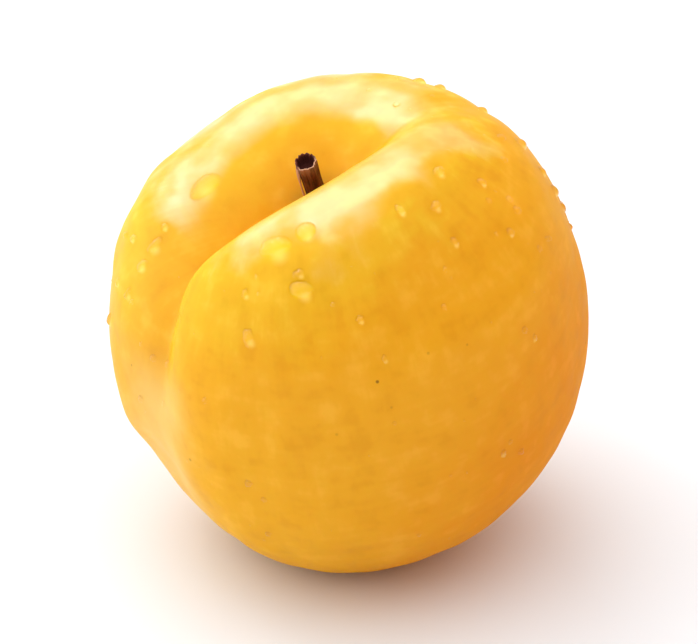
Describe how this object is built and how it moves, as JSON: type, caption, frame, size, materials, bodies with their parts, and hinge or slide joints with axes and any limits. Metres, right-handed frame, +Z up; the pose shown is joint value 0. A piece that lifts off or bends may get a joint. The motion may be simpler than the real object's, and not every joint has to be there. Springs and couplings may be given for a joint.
{
  "type": "plum",
  "caption": "Ripe yellow plum with a deep stalk cavity, a suture between unequal lobes and a short cut stalk, resting on a small flat spot.",
  "frame": {"origin": "bottom centre of the box around the whole plum, on the surface that it rests on", "axes": "+Z up as the plum rests; -Y towards the viewer, where the fuller lobe shows; +X to the viewer's right, so the suture runs down the -X side"},
  "size_m": [0.0546, 0.0548, 0.0537],
  "materials": {
    "skin": "smooth waxy plum skin, moist and softly glossy, golden yellow going to orange low down and pale on the shoulders",
    "bark": "matt reddish-brown bark with fine lengthwise ribs and a dark hollow cut end"
  },
  "bodies": {
    "root": {"fruit": "skin", "stem": "bark"}
  },
  "joints": []
}
